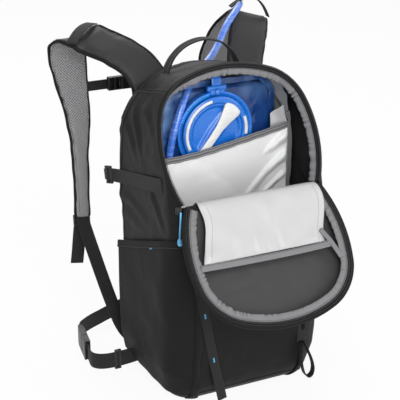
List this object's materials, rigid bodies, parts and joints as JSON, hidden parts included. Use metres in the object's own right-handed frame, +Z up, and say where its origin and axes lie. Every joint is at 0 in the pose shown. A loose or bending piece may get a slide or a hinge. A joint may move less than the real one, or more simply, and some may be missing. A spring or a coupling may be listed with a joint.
{
  "type": "hydration pack",
  "caption": "Small panel-loading day pack with its arched lid hanging open, water reservoir, drinking hose, side pockets, shoulder straps and waist belt.",
  "frame": {"origin": "centre of the flat underside of the base panel", "axes": "+Z up, the zipped opening and the lid face -Y, the back panel and the shoulder straps are on +Y"},
  "size_m": [0.3473, 0.465, 0.499],
  "materials": {
    "nylon_black": "plain-woven coated nylon",
    "stretch_black": "stretch-woven pocket fabric",
    "silver_lining": "coated silver lining",
    "grey_binding": "woven binding tape",
    "air_mesh": "open spacer mesh",
    "webbing_black": "woven nylon webbing",
    "buckle_black": "moulded acetal",
    "zip_black": "coil zip tape",
    "elastic_grey": "ribbed elastic",
    "reservoir_blue": "tinted film",
    "cap_blue": "moulded polypropylene",
    "handle_white": "moulded polypropylene",
    "hose_blue": "clear tinted hose",
    "bite_rubber": "soft silicone",
    "cord_blue": "braided cord"
  },
  "bodies": {
    "pack": {"back_panel": "nylon_black", "base_panel": "nylon_black", "top_panel": "nylon_black", "front_panel": "nylon_black", "left_side_panel": "nylon_black", "right_side_panel": "nylon_black", "left_shoulder_pad": "nylon_black", "right_shoulder_pad": "nylon_black", "left_side_pocket": "stretch_black", "right_side_pocket": "stretch_black", "reservoir_sleeve": "silver_lining", "opening_binding": "grey_binding", "left_strap_mesh": "air_mesh", "right_strap_mesh": "air_mesh", "left_back_pad": "air_mesh", "right_back_pad": "air_mesh", "left_lower_webbing": "webbing_black", "right_lower_webbing": "webbing_black", "sternum_webbing_left": "webbing_black", "sternum_webbing_right": "webbing_black", "belt_webbing_left": "webbing_black", "belt_webbing_right": "webbing_black", "grab_handle": "webbing_black", "left_compression_strap": "webbing_black", "right_compression_strap": "webbing_black", "left_gear_strip": "webbing_black", "right_gear_strip": "webbing_black", "gear_loop": "webbing_black", "left_hose_keeper": "webbing_black", "right_hose_keeper": "webbing_black", "left_strap_lock": "buckle_black", "right_strap_lock": "buckle_black", "sternum_buckle_socket": "buckle_black", "belt_buckle_socket": "buckle_black", "belt_tri_glide": "buckle_black", "left_compression_lock": "buckle_black", "right_compression_lock": "buckle_black", "hose_port": "buckle_black", "zip_slider": "buckle_black", "opening_zip_tape": "zip_black", "sleeve_hem": "elastic_grey", "reservoir_bag": "reservoir_blue", "reservoir_collar": "cap_blue", "hose_elbow": "cap_blue", "reservoir_hanger": "cap_blue", "valve_body": "handle_white", "drinking_hose": "hose_blue", "bite_valve": "bite_rubber"},
    "lid": {"lid_panel": "nylon_black", "lid_zip_tape": "zip_black", "lid_binding": "grey_binding", "lid_pocket_panel": "silver_lining", "lid_pocket_hem": "grey_binding"},
    "cap": {"reservoir_cap": "cap_blue", "cap_handle": "handle_white"},
    "sternum_plug": {"sternum_buckle_plug": "buckle_black"},
    "belt_plug": {"belt_buckle_plug": "buckle_black"},
    "zip_pull": {"zip_pull_cord": "cord_blue", "zip_pull_knot": "cord_blue"},
    "lever": {"shutoff_lever": "cap_blue"}
  },
  "joints": [
    {"name": "lid_fold", "type": "hinge", "parent": "pack", "child": "lid", "pos_m": [0, -0.09712, 0.30513], "axis": [-1, 0, 0], "range_deg": [0, 169]},
    {"name": "cap_turn", "type": "hinge", "parent": "pack", "child": "cap", "pos_m": [0, 0.0127, 0.357], "axis": [0, -1, 0], "range_deg": [0, 90]},
    {"name": "sternum_buckle", "type": "slide", "parent": "pack", "child": "sternum_plug", "axis": [-1, 0, 0], "range_m": [0, 0.016]},
    {"name": "belt_buckle", "type": "slide", "parent": "pack", "child": "belt_plug", "axis": [-0.1736, -0.9848, 0], "range_m": [0, 0.019]},
    {"name": "zip_pull_swing", "type": "hinge", "parent": "pack", "child": "zip_pull", "pos_m": [-0.1092, -0.099, 0.2992], "axis": [0, 1, 0], "range_deg": [0, 100]},
    {"name": "valve_shutoff", "type": "hinge", "parent": "pack", "child": "lever", "pos_m": [0.09927, 0.23847, 0.27556], "axis": [0, 0.9731, -0.2305], "range_deg": [0, 90]}
  ]
}
